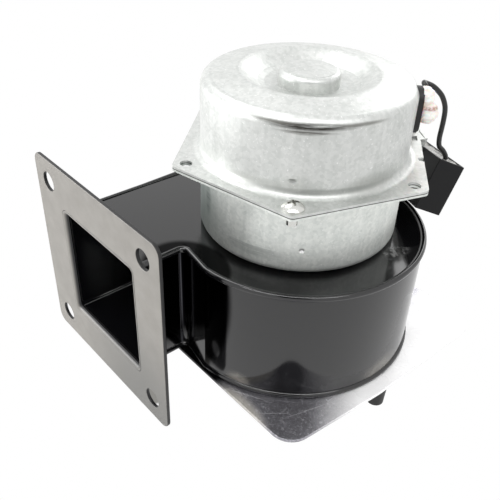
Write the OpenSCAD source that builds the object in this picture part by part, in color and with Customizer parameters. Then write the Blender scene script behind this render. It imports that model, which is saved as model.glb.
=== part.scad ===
// Blower fan: pressed-steel scroll with a flanged outlet, closed two-cup motor on top,
// forward-curved squirrel-cage impeller inside, run capacitor on the motor flange.
// Millimetres. Z is up, the outlet faces -Y, the rotor axis is vertical.

/* [Scroll housing] */
// sheet thickness of the scroll
sheet_t = 0.8; // [0.6:0.1:1.2]
// outer radius of the scroll on its narrow side
scroll_r = 51.5; // [50:0.5:56]
// growth of the scroll from its narrow side to its wide side
scroll_growth = 12; // [8:1:16]
// sideways offset of the scroll from the rotor axis
scroll_x = 2; // [1:0.5:3]
// inside height of the scroll
scroll_h = 48.9; // [46:0.1:56]
// inside width of the outlet duct
duct_w = 48.9; // [42:0.1:50]
// height and width of the rolled seam
seam = 2.6; // [2:0.1:3]
// outside bend radius at the tongue
tongue_r = 2.8; // [2:0.1:4]

/* [Outlet flange] */
// side of the square flange
flange_w = 91; // [88:1:100]
// thickness of the flange
flange_t = 1.5; // [1:0.1:2.5]
// corner radius of the flange
flange_corner = 4.5; // [2:0.5:8]
// bolt pitch of the flange, both ways
flange_pitch = 70; // [68:1:74]
// diameter of the bolt holes
flange_hole = 8.5; // [5:0.1:9]
// distance of the flange face from the rotor axis
flange_reach = 74.2; // [72:0.1:90]
// sideways shift of the flange from the middle of the duct
flange_shift = -0.85; // [-1.2:0.05:1]

/* [Base plate] */
// side of the square base plate
base_w = 116; // [114:1:124]
// thickness of the base plate
base_t = 1.5; // [1:0.1:3]
// corner radius of the base plate
base_corner = 19; // [10:1:22]
// inside radius of the air inlet
inlet_r = 33.5; // [28:0.5:34]
// height of the inlet nozzle above the underside
inlet_h = 8; // [7:0.5:9]

/* [Motor] */
// outside radius of both motor cups
cup_r = 40; // [38:0.5:42]
// sheet thickness of the cups
cup_t = 1; // [0.8:0.1:1.2]
// height of the lower cup up to the flange joint
lower_cup_h = 32.05; // [30:0.05:36]
// height of the upper cup's wall up to its shoulder
upper_cup_h = 29.5; // [28:0.5:34]
// rounding of the upper cup's shoulder
shoulder_r = 4; // [2:0.5:5]
// rounding of the lower cup's bottom edge
lower_round = 3.4; // [2:0.1:4]
// radius where the dished middle of the upper cup begins
dish_r = 26; // [22:0.5:28]
// radius of the bearing boss at its base
boss_r = 11.5; // [11:0.1:13]
// how far the hexagonal flange's corners reach beyond the cups
hex_reach = 13.2; // [12:0.1:16]
// corner rounding of the hexagonal flange
hex_round = 2.5; // [1:0.1:4]
// distance of the corner holes from the flange's corners
hex_hole_in = 5.6; // [5:0.1:7]
// diameter of the corner holes
hex_hole = 4.6; // [4.2:0.1:5]
// turn of the hexagonal flange about the axis
hex_turn = 11.3; // [0:0.1:60]
// radius of the shaft
shaft_r = 3; // [2.5:0.1:4]

/* [Impeller] */
// outside radius of the impeller
fan_r = 43; // [40:0.5:44]
// inside radius of the blade ring
fan_eye = 36; // [35.5:0.1:37]
// height of the blades
fan_h = 40; // [34:0.5:40]
// number of blades
blades = 40; // [24:1:48]
// thickness of a blade
blade_t = 0.8; // [0.6:0.1:1]
// radius of the blade's hollow face
blade_curve = 6.4; // [6:0.1:7]
// height of the ring at the inlet end
fan_ring_h = 3; // [2:0.5:5]

/* [Capacitor] */
// length of the capacitor case
case_l = 40; // [36:0.5:42]
// thickness of the capacitor case
case_t = 11.75; // [10:0.05:14]
// height of the capacitor case
case_h = 21.6; // [18:0.1:26]
// width of the bracket
bracket_w = 10; // [6:0.5:12]
// thickness of the bracket
bracket_t = 1; // [0.8:0.1:1.5]

/* [Leads and feet] */
// diameter of the capacitor's wire
wire_d = 2; // [1.5:0.1:2.5]
// diameter of the supply lead
lead_d = 5; // [4:0.1:6]
// radius of the pale sleeve
sleeve_r = 3.85; // [3:0.05:4]
// width of the grommet
grommet_w = 10.5; // [9:0.5:12]
// height of the grommet
grommet_h = 17.5; // [15:0.5:18]
// radius of a rubber foot under the plate
foot_r = 4.5; // [3:0.5:6]

/* [Hidden] */
$fn = 96;
eps = 0.01;

// heights, all from the underside of the base plate
z_floor = base_t + sheet_t;
z_ceil = z_floor + scroll_h;
z_top = z_ceil + sheet_t;
z_wall0 = base_t + seam;
z_wall1 = z_top + 1.1 - seam;
z_joint = z_top + lower_cup_h;
z_upper = z_joint + cup_t;
z_shoulder = z_joint + upper_cup_h;
z_dish = z_shoulder - 3.25;
z_cone = z_shoulder + 1.8;
z_boss = z_cone + 0.3;
boss_h = z_boss - z_dish + cup_t;
boss_round = 2;
boss_dome = 0.7;
dome_r = 72;

// scroll plan
c1 = [scroll_x, -1];
c2 = [scroll_x, -1 - scroll_growth];
r2 = scroll_r + scroll_growth;
duct_x0 = scroll_x - r2;
duct_x1 = duct_x0 + duct_w + 2 * sheet_t;
tongue = [duct_x1 + tongue_r, -50.2 - tongue_r];
join = 3;
flange_back = -flange_reach + flange_t;
duct_cx = (duct_x0 + duct_x1) / 2;
flange_cx = duct_cx + flange_shift;
flange_cz = (z_floor + z_ceil) / 2 + 0.25;
lip_r = flange_t;

// base plate and feet
base_c = [2, 2.5];
stand_h = flange_w / 2 - flange_cz;
foot_at = [[51, 5.5], [-29, 42]];
hem_r = inlet_r + 1;

// motor
hex_r = cup_r + hex_reach;
hex_hole_at = hex_r - hex_hole_in;
small_hole = 4;
screw_turns = [hex_turn - 60, hex_turn + 60, hex_turn + 120];
hex_flat = hex_r * cos(30);
motor_screw_at = cup_r - 12;
screw_r = 2;
head_r = 4;
head_h = 2.6;
recess_w = 0.9;
screw_end = 5;
nut_h = 2.2;
nut_r = 3.5;
notch_r = 1.6;
edge_slot = [2.2, 4.4];
edge_slot_at = 14;
bearing_r = 9.5;
bearing_h = 6;
bearing_z0 = z_top + cup_t;
bearing_z1 = z_boss - 1 - bearing_h;
seat_wall = 1.5;
core_h = 30;
winding_h = 8.5;
winding_gap = 3;
core_z0 = z_joint - core_h / 2;
rotor_r = 20.6;
air_gap = 0.4;

// impeller
fan_z0 = 6;
fan_z1 = fan_z0 + fan_h;
hub_r = 9;
hub_h = 12;
blade_steps = 6;
shaft_z0 = fan_z1 - hub_h - 2;
shaft_z1 = bearing_z1 + bearing_h - 0.4;

// capacitor: corner nearest the flange, and how the case leans
cap_out = 13.85;
cap_side = 47.18;
cap_at = [(cup_r + cap_out) * cos(cap_side), (cup_r + cap_out) * sin(cap_side), z_joint - 2];
cap_turn = [-158.6, 8.9, 148.9];
cap_rim = 1.2;
cap_fill = 3.4;
cap_pocket = 4;

// leads: outward, sideways and up from the grommet's line
lead_turn = 41.3;
grommet_z = z_joint + 19.7;
grommet_out = 1.7;
lobe_up = [cup_r + 2.1, 0, grommet_z + 5.45];
lobe_low = [cup_r + 4.2, 0, grommet_z - 0.85];
sleeve_run = 11;
wire_points = [
  [3, 1, 26.65], [2.6, 3.2, 28.25], [2.4, 5.2, 28.35], [3.2, 6.9, 27.55],
  [5.2, 7, 26.45], [7.7, 7.5, 24.55], [9.7, 7.8, 22.35], [11.2, 8.2, 19.35],
  [11.9, 8.6, 16.65], [12.2, 9, 13.05], [12.3, 9.6, 8.95], [12.4, 10.4, 4.45],
  [13.1, 11, 0.95], [14.9, 11.7, -1.05], [16.4, 12, -3.25], [16.8, 12, -4.85]
];
wire_route = [for (p = wire_points) p + [cup_r, 0, z_joint]];
lead_route = [
  [26.06, 37, 98.6], [23.2, 38.5, 96.2], [20.3, 40.5, 93.6], [18.4, 43.4, 91.9],
  [15.8, 47.4, 91], [12.2, 51, 89.6], [7, 54.5, 87], [2.5, 57.6, 82.5],
  [-1.5, 60.4, 77], [-2.5, 61.8, 70], [-4, 63, 60], [-5, 63.8, 48],
  [-5.8, 64.3, 34], [-6.4, 64.7, 20], [-7, 65, 6], [-7.6, 65.8, -5],
  [-8.8, 68, -12], [-10.6, 72, -15.4], [-13, 78, -15.9], [-15.6, 84.5, -15.9],
  [-18, 91, -15.5], [-19.5, 97, -15.1]
];
coil_at = [-50, 100];
coil_turns = 2;
coil_mid = 27.5;
tie_t = 0.8;
coil_w = coil_turns * lead_d;
coil_z = -stand_h + tie_t + 0.1;

// middle of the standing outline, so that the origin is at the bottom centre
lug_turn = hex_turn + 60;
lug_hole = [hex_hole_at * cos(lug_turn), hex_hole_at * sin(lug_turn), cap_at.z];
lug_along = (lug_hole - cap_at) * cap_u();
lug_at = cap_at + lug_along * cap_u();
lug_past = 2.4;
cap_back = cap_at.y + case_l * cap_u().y + case_t * cap_v().y;
mid_x = (flange_cx - flange_w / 2 + base_c.x + base_w / 2) / 2;
mid_y = (-flange_reach + max(base_c.y + base_w / 2, cap_back)) / 2;

function cap_u() =
  [cos(cap_turn.z) * cos(cap_turn.y), sin(cap_turn.z) * cos(cap_turn.y), -sin(cap_turn.y)];
function cap_v() =
  [cos(cap_turn.z) * sin(cap_turn.y) * sin(cap_turn.x) - sin(cap_turn.z) * cos(cap_turn.x),
   sin(cap_turn.z) * sin(cap_turn.y) * sin(cap_turn.x) + cos(cap_turn.z) * cos(cap_turn.x),
   cos(cap_turn.y) * sin(cap_turn.x)];

// ---- helpers ----

// everything is drawn about the rotor axis and the plate's underside, then centred
module placed() translate([-mid_x, -mid_y, stand_h]) children();

// plan of the scroll, drawn in by o, with its duct open at y = front
module plan(o, front) {
  r1 = scroll_r - o;
  intersection() {
    translate(c1) circle(r1, $fn = 180);
    translate([scroll_x, c1.y]) square([scroll_r + 5, scroll_r + 5]);
  }
  intersection() {
    translate(c1) circle(r1, $fn = 180);
    translate([scroll_x + join, c1.y - scroll_r - 5]) square([scroll_r + 5, scroll_r + 5]);
  }
  intersection() {
    translate(c2) circle(r2 - o, $fn = 180);
    translate([scroll_x - r2 - 5, c2.y]) square([r2 + 5, r2 + 5]);
  }
  difference() {
    polygon([
      [duct_x1 - o, tongue.y + tongue_r + o], [tongue.x, tongue.y + tongue_r + o],
      [scroll_x + join, c1.y - sqrt(r1 * r1 - join * join)],
      [scroll_x + join, c1.y], [scroll_x, c1.y], [scroll_x, c2.y], [duct_x1 - o, c2.y]
    ]);
    translate(tongue) circle(tongue_r + o);
  }
  difference() {
    translate([duct_x0 + o, front])
      square([duct_w + 2 * sheet_t - 2 * o, c2.y - front]);
    translate(tongue) circle(tongue_r + o);
  }
}

// rolled seam all round the scroll, on the middle of the wall
module seam_round() linear_extrude(seam) difference() {
  plan(-(seam - sheet_t) / 2, flange_back);
  plan((seam + sheet_t) / 2, flange_back - 1);
}

module rounded_square(w, r) {
  square([w - 2 * r, w], center = true);
  square([w, w - 2 * r], center = true);
  for (sx = [-1, 1], sy = [-1, 1])
    translate([sx * (w / 2 - r), sy * (w / 2 - r)]) circle(r);
}

module upright_slot(w, h) {
  square([w, h - w], center = true);
  for (s = [-1, 1]) translate([0, s * (h - w) / 2]) circle(w / 2);
}

// hexagonal sheet with rounded corners
module hex_sheet() {
  rin = (hex_flat - hex_round) / cos(30);
  circle(rin, $fn = 6);
  for (k = [0:5]) rotate(60 * k) {
    translate([rin, 0]) circle(hex_round, $fn = 48);
    rotate(30) translate([0, -rin / 2]) square([hex_flat, rin]);
  }
}

// half sections of the cups: g is how far the section is drawn in
module lower_section(g) {
  translate([0, z_top + g]) square([cup_r - lower_round, z_joint - z_top]);
  translate([0, z_top + lower_round]) square([cup_r - g, z_joint - z_top - lower_round]);
  translate([cup_r - lower_round, z_top + lower_round]) circle(lower_round - g);
}

module upper_section(g) {
  z0 = z_joint - eps * g;
  edge = shoulder_r - g;
  translate([0, z0]) square([cup_r - g, z_shoulder - shoulder_r - z0]);
  translate([0, z0]) square([cup_r - shoulder_r, z_dish - 1 - g - z0]);
  translate([cup_r - shoulder_r, z_shoulder - shoulder_r]) circle(edge);
  polygon([
    [0, z_dish - 2 - g], [cup_r - shoulder_r, z_dish - 2 - g],
    [cup_r - shoulder_r + 0.3 * edge, z_shoulder - g - 0.18],
    [cup_r - shoulder_r, z_shoulder - g], [dish_r + 1, z_cone - g - 0.1],
    [dish_r, z_cone - g - 0.05], [dish_r - 1, z_cone - g - 0.4],
    [dish_r - 2.5, z_cone - g - 1.1], [dish_r - 4.5, z_cone - g - 2.4],
    [dish_r - 7, z_cone - g - 3.9], [dish_r - 9.5, z_dish + 0.35 - g],
    [dish_r - 12, z_dish - g], [0, z_dish - g]
  ]);
}

module ring(ri, ro, h)
  difference() {
    cylinder(r = ro, h = h);
    translate([0, 0, -1]) cylinder(r = ri, h = h + 2);
  }

module pan_head(r, h) {
  intersection() {
    cylinder(r = r, h = h);
    translate([0, 0, h - 1.3 * r]) sphere(1.3 * r);
  }
}

// round tube along a route, n sides
function unit(v) = v / norm(v);
function route_dir(p, i) = unit(p[min(i + 1, len(p) - 1)] - p[max(i - 1, 0)]);
function route_ring(p, i, r, n, ref) =
  let (t = route_dir(p, i), a = unit(cross(t, ref)), b = cross(t, a))
  [for (k = [0:n - 1]) p[i] + r * (cos(360 * k / n) * a + sin(360 * k / n) * b)];

module tube(p, r, n, ref) {
  m = len(p);
  points = [for (i = [0:m - 1]) each route_ring(p, i, r, n, ref)];
  sides = [for (i = [0:m - 2], k = [0:n - 1])
    [i * n + k, (i + 1) * n + k, (i + 1) * n + (k + 1) % n, i * n + (k + 1) % n]];
  cap0 = [for (k = [0:n - 1]) k];
  cap1 = [for (k = [n - 1:-1:0]) (m - 1) * n + k];
  polyhedron(points = points, faces = concat([cap0], sides, [cap1]), convexity = 8);
}

// ---- scroll ----

module base_plate() color("gainsboro") placed()
  difference() {
    translate(base_c) linear_extrude(base_t) rounded_square(base_w, base_corner);
    translate([0, 0, -1]) cylinder(r = hem_r, h = base_t + 2);
  }

// plates fill the plan inside the rolled seams
module seam_plate() linear_extrude(sheet_t) plan((sheet_t + seam) / 2, flange_back);

module scroll_bottom_plate() color("dimgray") placed()
  difference() {
    translate([0, 0, base_t]) seam_plate();
    cylinder(r = hem_r, h = 20);
  }

module scroll_wall() color("dimgray") placed()
  translate([0, 0, z_wall0]) linear_extrude(z_wall1 - z_wall0) difference() {
    plan(0, flange_back);
    plan(sheet_t, flange_back - 1);
  }

module scroll_seams() color("dimgray") placed()
  for (z = [base_t, z_wall1]) translate([0, 0, z]) seam_round();

module scroll_top_plate() color("dimgray") placed()
  difference() {
    translate([0, 0, z_ceil]) seam_plate();
    translate([0, 0, z_ceil - 1]) cylinder(r = 8, h = 4);
    for (k = [0:3]) rotate(45 + 90 * k)
      translate([motor_screw_at, 0, z_ceil - 1]) cylinder(r = 2.15, h = 4);
  }

module inlet_ring() color("silver") placed() {
  ring(inlet_r, hem_r, inlet_h);
  translate([0, 0, z_floor]) ring(hem_r - eps, hem_r + 5, sheet_t);
}

module outlet_flange() color("darkgray") placed()
  translate([0, flange_back, 0]) {
    rotate([90, 0, 0]) linear_extrude(flange_t) difference() {
      translate([flange_cx, flange_cz]) rounded_square(flange_w, flange_corner);
      translate([duct_x0 + sheet_t - lip_r, z_floor - lip_r])
        square([duct_w + 2 * lip_r, scroll_h + 2 * lip_r]);
      for (sx = [-1, 1], sz = [-1, 1])
        translate([flange_cx + sx * flange_pitch / 2, flange_cz + sz * flange_pitch / 2])
          circle(flange_hole / 2);
    }
    // rolled edge of the opening
    intersection() {
      translate([duct_x0 - 3, -flange_t, z_floor - 3])
        cube([duct_w + 8, flange_t, scroll_h + 6]);
      union() {
        for (x = [duct_x0 + sheet_t - lip_r, duct_x1 - sheet_t + lip_r])
          translate([x, 0, z_floor - lip_r]) cylinder(r = lip_r, h = scroll_h + 2 * lip_r);
        for (z = [z_floor - lip_r, z_ceil + lip_r])
          translate([duct_x0 + sheet_t - lip_r, 0, z]) rotate([0, 90, 0])
            cylinder(r = lip_r, h = duct_w + 2 * lip_r);
      }
    }
  }

module rubber_feet() color("black") placed()
  for (p = foot_at)
    translate([p.x, p.y, -stand_h]) cylinder(r1 = foot_r - 0.8, r2 = foot_r, h = stand_h);

// ---- motor ----

module motor_lower_cup() color("silver") placed()
  difference() {
    union() {
      rotate_extrude() intersection() {
        lower_section(0);
        square([cup_r, z_joint]);
      }
      translate([0, 0, z_joint - cup_t]) rotate(hex_turn) linear_extrude(cup_t) hex_sheet();
      rotate_extrude() difference() {
        translate([cup_r - eps, z_joint - cup_t - 2]) square([2, 2 + eps]);
        translate([cup_r + 2, z_joint - cup_t - 2]) circle(2);
      }
    }
    difference() {
      rotate_extrude() intersection() {
        lower_section(cup_t);
        translate([0, z_top]) square([cup_r, lower_cup_h + 2]);
      }
      translate([0, 0, z_top]) ring(bearing_r, bearing_r + seat_wall, cup_t + bearing_h + 0.5);
    }
    translate([0, 0, z_joint - cup_t]) cylinder(r = cup_r - cup_t, h = 4);
    translate([0, 0, z_top - 1]) cylinder(r = 5, h = 4);
    for (k = [0:3]) rotate(45 + 90 * k)
      translate([motor_screw_at, 0, z_top - 1]) cylinder(r = screw_r + 0.15, h = 4);
    for (k = [0:5]) rotate(hex_turn + 60 * k)
      translate([hex_hole_at, 0, z_joint - 3])
        cylinder(r = k % 3 == 2 ? small_hole / 2 : hex_hole / 2, h = 6);
    edge_cuts();
  }

module motor_upper_cup() color("gainsboro") placed()
  difference() {
    union() {
      rotate_extrude() intersection() {
        upper_section(0);
        translate([0, z_joint]) square([cup_r, 2 * upper_cup_h]);
      }
      translate([0, 0, z_joint]) rotate(hex_turn) linear_extrude(cup_t) hex_sheet();
      rotate_extrude() difference() {
        translate([cup_r - eps, z_upper - eps]) square([3, 3]);
        translate([cup_r + 3, z_upper + 3]) circle(3);
      }
      // bearing boss
      translate([0, 0, z_dish - cup_t]) rotate_extrude() {
        square([boss_r, boss_h - boss_round]);
        square([boss_r - boss_round, boss_h]);
        translate([boss_r - boss_round, boss_h - boss_round]) circle(boss_round);
      }
      intersection() {
        translate([0, 0, z_boss - boss_round]) cylinder(r = boss_r - boss_round, h = 2 * boss_round);
        translate([0, 0, z_boss + boss_dome - dome_r]) sphere(dome_r, $fn = 180);
      }
    }
    difference() {
      rotate_extrude() intersection() {
        upper_section(cup_t);
        translate([0, z_joint - 1]) square([cup_r, 2 * upper_cup_h]);
      }
      translate([0, 0, bearing_z1 - 0.5]) ring(bearing_r, bearing_r + seat_wall, 2 * bearing_h);
    }
    translate([0, 0, z_joint - 1]) cylinder(r = cup_r - cup_t, h = 4);
    translate([0, 0, bearing_z1]) cylinder(r = bearing_r, h = bearing_h);
    for (k = [0:5]) rotate(hex_turn + 60 * k)
      translate([hex_hole_at, 0, z_joint - 1])
        cylinder(r = k % 3 == 2 ? small_hole / 2 + 0.15 : hex_hole / 2, h = 6);
    edge_cuts();
    at_grommet() translate([0, 0, cup_r - 2 * cup_t]) linear_extrude(3 * cup_t)
      upright_slot(grommet_w - 2.4, grommet_h - 2.4);
  }

// notch and slot that the pressing leaves at the flange's edge
module edge_cuts() {
  rotate(hex_turn + 30) translate([hex_flat - 0.6, -2.6, z_joint - 3]) cylinder(r = notch_r, h = 6);
  rotate(hex_turn + 30) translate([hex_flat - 3.4, edge_slot_at, z_joint - 3])
    cube([edge_slot.x, edge_slot.y, 6]);
}

module flange_screws() color("whitesmoke") placed()
  for (a = screw_turns) rotate(a) translate([hex_hole_at, 0, 0]) {
    translate([0, 0, z_joint - screw_end])
      cylinder(r = small_hole / 2, h = cup_t + screw_end + eps);
    translate([0, 0, z_upper]) rotate(20) difference() {
      pan_head(head_r, head_h);
      for (r = [0, 90]) rotate(r)
        translate([-head_r / 2, -recess_w / 2, head_h / 2]) cube([head_r, recess_w, head_h]);
    }
  }

module motor_screws() color("whitesmoke") placed()
  for (k = [0:3]) rotate(45 + 90 * k) translate([motor_screw_at, 0, 0]) {
    translate([0, 0, z_ceil - eps]) cylinder(r = screw_r, h = sheet_t + cup_t + nut_h + 0.2);
    translate([0, 0, z_ceil - screw_r]) difference() {
      cylinder(r = nut_r, h = screw_r);
      for (r = [0, 90]) rotate(r)
        translate([-screw_r, -recess_w / 2, -screw_r / 2]) cube([2 * screw_r, recess_w, screw_r]);
    }
    translate([0, 0, z_top + cup_t]) ring(screw_r - eps, nut_r, nut_h);
  }

module stator_core() color("slategray") placed()
  translate([0, 0, core_z0]) ring(rotor_r + air_gap, cup_r - cup_t, core_h);

module stator_windings() color("peru") placed()
  for (z = [core_z0 - winding_h, core_z0 + core_h]) translate([0, 0, z])
    ring(rotor_r + air_gap + winding_gap, cup_r - cup_t - winding_gap, winding_h);

module bearing(z)
  translate([0, 0, z]) difference() {
    ring(shaft_r + 0.05, bearing_r, bearing_h);
    for (s = [-1, bearing_h - 0.6]) translate([0, 0, s]) ring(shaft_r + 1.6, bearing_r - 1.6, 1.6);
  }

module lower_bearing() color("lightsteelblue") placed() bearing(bearing_z0);

module upper_bearing() color("lightsteelblue") placed() bearing(bearing_z1);

// ---- grommet, sleeve and leads ----

// frame at the grommet: z points outward from the motor
module at_grommet()
  rotate(lead_turn) translate([0, 0, grommet_z]) rotate([90, 0, 90]) children();

module grommet() color("black") placed()
  difference() {
    at_grommet() {
      translate([0, 0, cup_r - 0.9]) linear_extrude(1.2)
        upright_slot(grommet_w - 2.4, grommet_h - 2.4);
      translate([0, 0, cup_r - 2]) linear_extrude(2 + grommet_out)
        upright_slot(grommet_w - 1, grommet_h - 1);
      translate([0, 0, cup_r - 2]) linear_extrude(1.5 + grommet_out)
        upright_slot(grommet_w, grommet_h);
    }
    difference() {
      rotate_extrude() intersection() {
        upper_section(0);
        translate([0, z_joint]) square([cup_r, 2 * upper_cup_h]);
      }
      at_grommet() translate([0, 0, cup_r - 0.9]) linear_extrude(4)
        upright_slot(grommet_w - 2.4, grommet_h - 2.4);
    }
  }

// round-ended bar, drawn in one turn
module capsule(r, h)
  rotate_extrude($fn = 48) intersection() {
    union() {
      square([r, h]);
      circle(r);
      translate([0, h]) circle(r);
    }
    translate([0, -r]) square([r, h + 2 * r]);
  }

// two folds that bulge out of the grommet, flat against its face
module lead_sleeve() color("mistyrose") placed()
  rotate(lead_turn) difference() {
    union() {
      translate(lobe_up) rotate([-150, 0, 0]) capsule(sleeve_r - 0.35, 5);
      translate(lobe_low) rotate([-111.5, 0, 0]) capsule(sleeve_r, sleeve_run);
    }
    translate([cup_r + grommet_out - grommet_h, -grommet_h, grommet_z - grommet_h])
      cube([grommet_h, 2 * grommet_h, 2 * grommet_h]);
  }

module supply_lead() color("lightgray") placed() tube(lead_route, lead_d / 2, 10, [0.8, 0.6, 0.1]);

module lead_coil() color("lightgray") placed()
  translate([coil_at.x, coil_at.y, coil_z]) rotate_extrude() translate([coil_mid, 0]) {
    translate([-coil_w / 2 + lead_d / 2, 0]) square([coil_w - lead_d, lead_d]);
    for (s = [-1, 1]) translate([s * (coil_w - lead_d) / 2, lead_d / 2]) circle(lead_d / 2);
  }

// tie round both turns
module lead_tie() color("black") placed()
  translate([coil_at.x, coil_at.y, coil_z]) rotate(100)
    translate([coil_mid, -1.5, 0]) rotate([-90, 0, 0]) linear_extrude(3) difference() {
      translate([-coil_w / 2 - 0.9, -lead_d - 0.9]) square([coil_w + 1.8, lead_d + 1.8]);
      translate([-coil_w / 2 - 0.1, -lead_d - 0.1]) square([coil_w + 0.2, lead_d + 0.2]);
    }

// ---- capacitor ----

module at_capacitor() translate(cap_at) rotate(cap_turn) children();

module capacitor_case() color("darkslategray") placed()
  at_capacitor() difference() {
    cube([case_l, case_t, case_h]);
    translate([cap_rim, cap_rim, -1])
      cube([case_l - 2 * cap_rim, case_t - 2 * cap_rim, cap_pocket + 1]);
  }

module capacitor_potting() color("gray") placed()
  at_capacitor() translate([cap_rim, cap_rim, cap_pocket - cap_fill])
    cube([case_l - 2 * cap_rim, case_t - 2 * cap_rim, cap_fill]);

module capacitor_wire() color("black") placed()
  rotate(lead_turn) tube(wire_route, wire_d / 2, 8, [0, 1, 0.2]);

// angle bracket: one leg screwed under the flange, the other against the case
module capacitor_bracket() color("silver") placed()
  difference() {
    intersection() {
      union() {
        at_capacitor() translate([lug_along - bracket_w / 2, -bracket_t, -case_h / 2])
          cube([bracket_w, bracket_t, 1.4 * case_h]);
        difference() {
          translate([lug_at.x, lug_at.y, z_joint - cup_t - bracket_t])
            rotate(cap_turn.z - 90) translate([-case_t, -bracket_w / 2, 0])
              cube([case_t, bracket_w, bracket_t]);
          at_capacitor() translate([0, 0, -case_h / 2]) cube([case_l, case_l, 2 * case_h]);
        }
      }
      translate([-hex_r, -hex_r, z_joint - 2 * case_h])
        cube([2 * hex_r, 3 * hex_r, 2 * case_h - cup_t]);
    }
    translate([lug_hole.x, lug_hole.y, z_joint - case_h]) cylinder(r = hex_hole / 2, h = case_h);
    translate([lug_hole.x, lug_hole.y, z_joint - case_h])
      rotate(cap_turn.z - 90) translate([-2 * case_t - hex_hole / 2 - lug_past, -case_t, 0])
        cube([2 * case_t, 2 * case_t, case_h]);
  }

// ---- rotor ----

module motor_shaft() color("lightgray") placed()
  translate([0, 0, shaft_z0]) cylinder(r = shaft_r, h = shaft_z1 - shaft_z0);

module rotor_core() color("slategray") placed()
  translate([0, 0, core_z0 - 1]) ring(shaft_r, rotor_r, core_h + 2);

module impeller_hub() color("silver") placed()
  difference() {
    union() {
      translate([0, 0, fan_z1 - hub_h]) ring(shaft_r, hub_r, hub_h);
      translate([0, 0, fan_z1 - 1.5]) ring(shaft_r, hub_r + 7, 1.5);
    }
    translate([0, 0, fan_z1 - hub_h / 2 - 1]) rotate([0, 90, 0]) cylinder(r = 2, h = hub_r + 4);
  }

module impeller_backplate() color("silver") placed()
  translate([0, 0, fan_z1]) ring(shaft_r, fan_r, sheet_t);

// one forward-curved blade between the eye and the rim, its two faces on one centre
function blade_arc(r, a0, a1, n) =
  [for (i = [0:n]) let (a = a0 + (a1 - a0) * i / n)
    [fan_eye + 0.6 + r * cos(a), blade_curve + 0.1 + r * sin(a)]];

module blade()
  polygon(concat(
    blade_arc(blade_curve + blade_t, -95, -14, blade_steps),
    blade_arc(blade_curve, -14, -95, blade_steps)
  ));

module impeller_blades() color("silver") placed()
  union() {
    translate([0, 0, fan_z0 + fan_ring_h]) linear_extrude(fan_h - fan_ring_h)
      for (k = [0:blades - 1]) rotate(360 * k / blades) blade();
    translate([0, 0, fan_z0]) ring(fan_eye, fan_r, fan_ring_h);
  }

module hub_screw() color("black") placed()
  translate([shaft_r, 0, fan_z1 - hub_h / 2 - 1]) rotate([0, 90, 0])
    difference() {
      cylinder(r = 2, h = hub_r - shaft_r);
      translate([0, 0, hub_r - shaft_r - 2]) cylinder(r = 1.1, h = 3, $fn = 6);
    }

base_plate();
scroll_bottom_plate();
scroll_wall();
scroll_seams();
scroll_top_plate();
inlet_ring();
outlet_flange();
rubber_feet();
motor_lower_cup();
motor_upper_cup();
flange_screws();
motor_screws();
stator_core();
stator_windings();
lower_bearing();
upper_bearing();
grommet();
lead_sleeve();
supply_lead();
lead_coil();
lead_tie();
capacitor_case();
capacitor_potting();
capacitor_wire();
capacitor_bracket();
motor_shaft();
rotor_core();
impeller_hub();
impeller_backplate();
impeller_blades();
hub_screw();
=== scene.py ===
# %% [markdown]
# # A small centrifugal blower
#
# The CAD model gives the solids and where they are. This notebook gives them their looks:
# galvanised cups, glossy black paint, a polished base plate, rubber and soft leads. It models
# again, with more care, the few pieces whose softness or rounding shows: the base plate, the
# outlet flange, the rolled seams, the bend at the tongue, the sleeve and leads at the
# grommet, and the capacitor. Everything is in metres, and the object stands on z = 0.

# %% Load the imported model
import bpy, bmesh
from math import sin, cos, tan, exp, radians, degrees, pi, sqrt, atan2
from mathutils import Vector, Matrix


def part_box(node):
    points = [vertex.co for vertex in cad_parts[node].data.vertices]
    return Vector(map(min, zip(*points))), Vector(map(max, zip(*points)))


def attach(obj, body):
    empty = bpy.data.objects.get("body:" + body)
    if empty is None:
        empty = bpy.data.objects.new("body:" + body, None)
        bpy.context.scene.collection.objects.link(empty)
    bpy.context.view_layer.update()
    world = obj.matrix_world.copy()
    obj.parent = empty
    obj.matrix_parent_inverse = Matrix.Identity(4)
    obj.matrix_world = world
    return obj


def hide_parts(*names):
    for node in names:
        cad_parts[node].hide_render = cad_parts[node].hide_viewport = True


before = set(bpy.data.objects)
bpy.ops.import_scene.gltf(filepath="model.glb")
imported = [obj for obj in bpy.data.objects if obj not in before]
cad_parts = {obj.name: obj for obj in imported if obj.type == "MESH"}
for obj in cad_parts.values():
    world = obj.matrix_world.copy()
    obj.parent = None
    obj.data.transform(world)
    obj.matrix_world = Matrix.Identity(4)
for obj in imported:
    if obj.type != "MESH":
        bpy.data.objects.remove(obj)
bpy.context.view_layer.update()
scene = bpy.context.scene
MM = 0.001

# the rotor's axis and the underside of the base plate, read from the nodes
shaft_lo, shaft_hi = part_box("motor_shaft")
AX, AY = (shaft_lo[0] + shaft_hi[0]) / 2, (shaft_lo[1] + shaft_hi[1]) / 2
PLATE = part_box("base_plate")[0][2]
print("axis", round(AX, 5), round(AY, 5), "plate", round(PLATE, 5))


def at(x, y, z):
    """A point in millimetres from the rotor's axis and the plate's underside, in metres."""
    return Vector((AX + x * MM, AY + y * MM, PLATE + z * MM))


# %% [markdown]
# ## Camera
#
# The blower is seen from its outlet's side, from a good step above the motor. A camera can
# be placed by hand, but here it is placed by the point that it looks at, two angles and a
# distance, so that each can be changed by itself: a near normal lens, held a quarter of a
# metre away and tipped a couple of degrees.

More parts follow.
